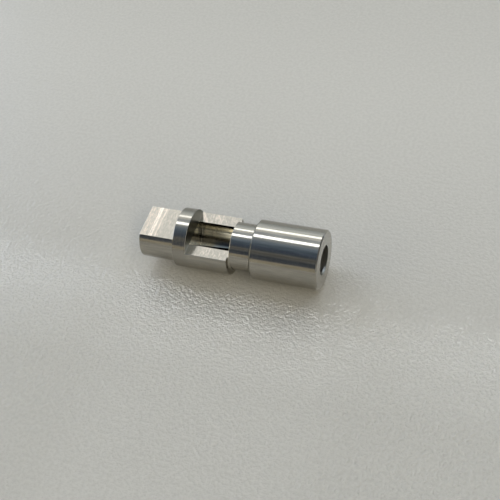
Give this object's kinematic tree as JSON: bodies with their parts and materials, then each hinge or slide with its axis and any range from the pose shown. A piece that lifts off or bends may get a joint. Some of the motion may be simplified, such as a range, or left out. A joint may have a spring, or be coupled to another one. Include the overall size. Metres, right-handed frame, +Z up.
{
  "type": "valve sleeve",
  "caption": "Turned steel valve sleeve with a flatted tang, a collar, a milled window opening its chamber, a grooved neck and a long bored head.",
  "frame": {"origin": "on the turning axis, at the middle of the length", "axes": "+X along the axis from the tang to the open mouth, +Z up and square to the milled flats, the window on top"},
  "size_m": [0.0308, 0.01, 0.01],
  "materials": {
    "steel": "fine turned and milled stainless steel, bright"
  },
  "bodies": {
    "root": {"valve_sleeve": "steel"}
  },
  "joints": []
}
